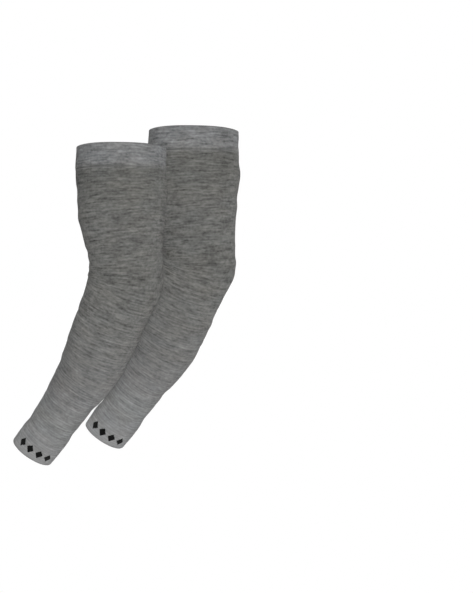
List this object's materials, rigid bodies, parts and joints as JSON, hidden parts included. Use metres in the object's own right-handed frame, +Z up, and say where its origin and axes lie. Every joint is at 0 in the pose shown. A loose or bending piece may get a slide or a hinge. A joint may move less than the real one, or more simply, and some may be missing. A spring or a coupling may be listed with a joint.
{
  "type": "pair of arm sleeves",
  "caption": "Knitted arm sleeves, filled out as if worn: tapered tubes bent at the elbow, open at both ends, with a turned band at the upper arm and a turned cuff at the wrist.",
  "frame": {"origin": "centre of the front sleeve's upper band, halfway down the band on the sleeve's middle line, where the wearer's upper arm holds it", "axes": "+Z runs up along the upper arm, out of the sleeve's wide end; -Y is the front that the picture shows; the forearm hangs down towards -X and back towards +Y"},
  "size_m": [0.2633, 0.228, 0.3894],
  "materials": {
    "upper_band": "matt fine rib-free knit, doubled over, light heather grey",
    "sleeve_body": "matt fine jersey knit, mid heather grey with short streaks along the courses",
    "wrist_cuff": "matt fine knit, doubled over, light grey with a row of small plain black lozenges"
  },
  "bodies": {
    "root": {"front_upper_band": "upper_band", "front_sleeve": "sleeve_body", "front_wrist_cuff": "wrist_cuff", "rear_upper_band": "upper_band", "rear_sleeve": "sleeve_body", "rear_wrist_cuff": "wrist_cuff"}
  },
  "joints": []
}
